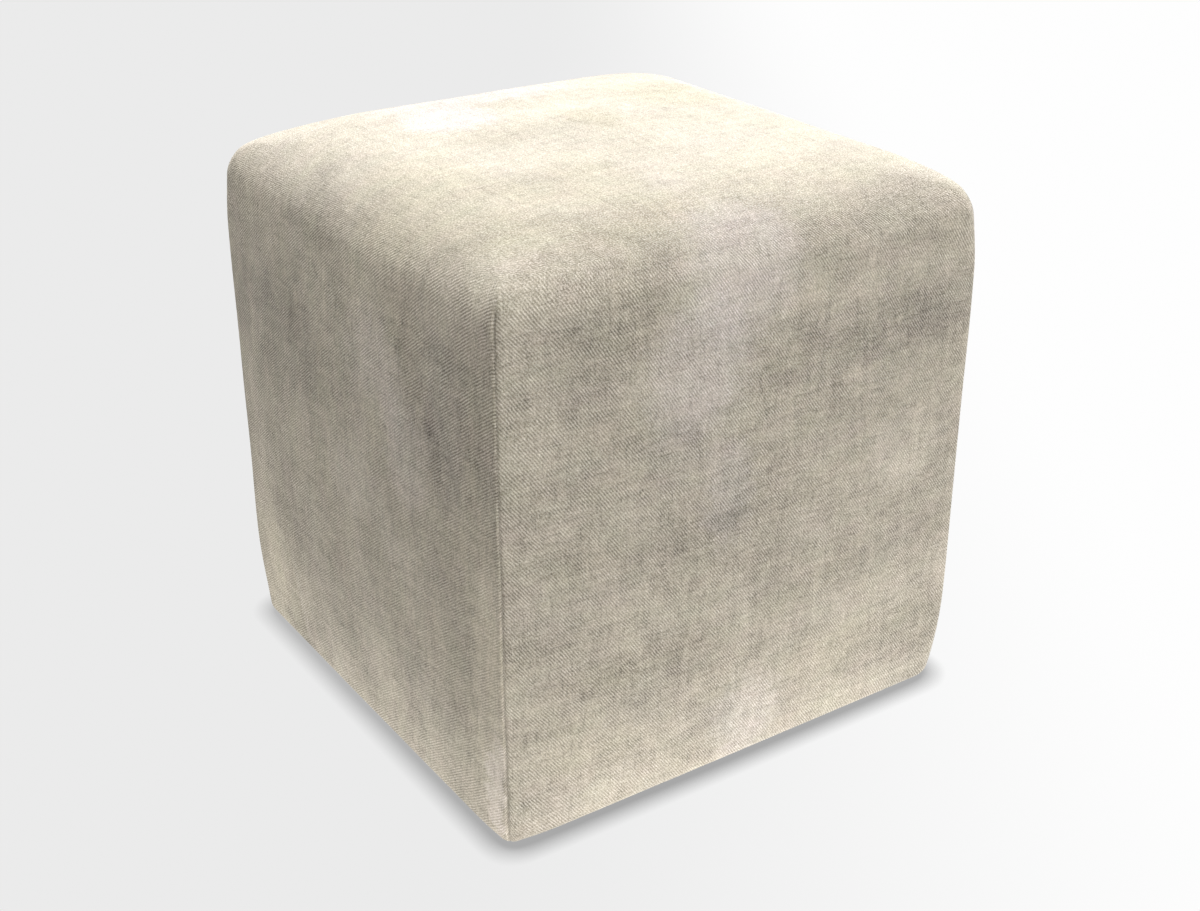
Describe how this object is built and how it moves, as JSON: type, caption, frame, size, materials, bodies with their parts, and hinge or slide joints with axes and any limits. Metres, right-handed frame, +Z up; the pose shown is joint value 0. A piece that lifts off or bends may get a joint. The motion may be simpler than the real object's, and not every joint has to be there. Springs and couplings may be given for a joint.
{
  "type": "cube pouf stool",
  "caption": "Firm filled cube pouf in beige twill cloth, with soft folded top edges, sewn upright corners and a gently crowned top, used as a low seat or footstool.",
  "frame": {"origin": "middle of the underside, at floor level", "axes": "+Z up through the middle of the top; +X and +Y square to the sides, with the larger side of the picture's view facing -Y"},
  "size_m": [0.45, 0.45, 0.46],
  "materials": {
    "cover_cloth": "heathered beige twill, softly brushed, matt",
    "panel_cloth": "plain flat base cloth, matt"
  },
  "bodies": {
    "root": {"cover": "cover_cloth", "base_panel": "panel_cloth"}
  },
  "joints": []
}
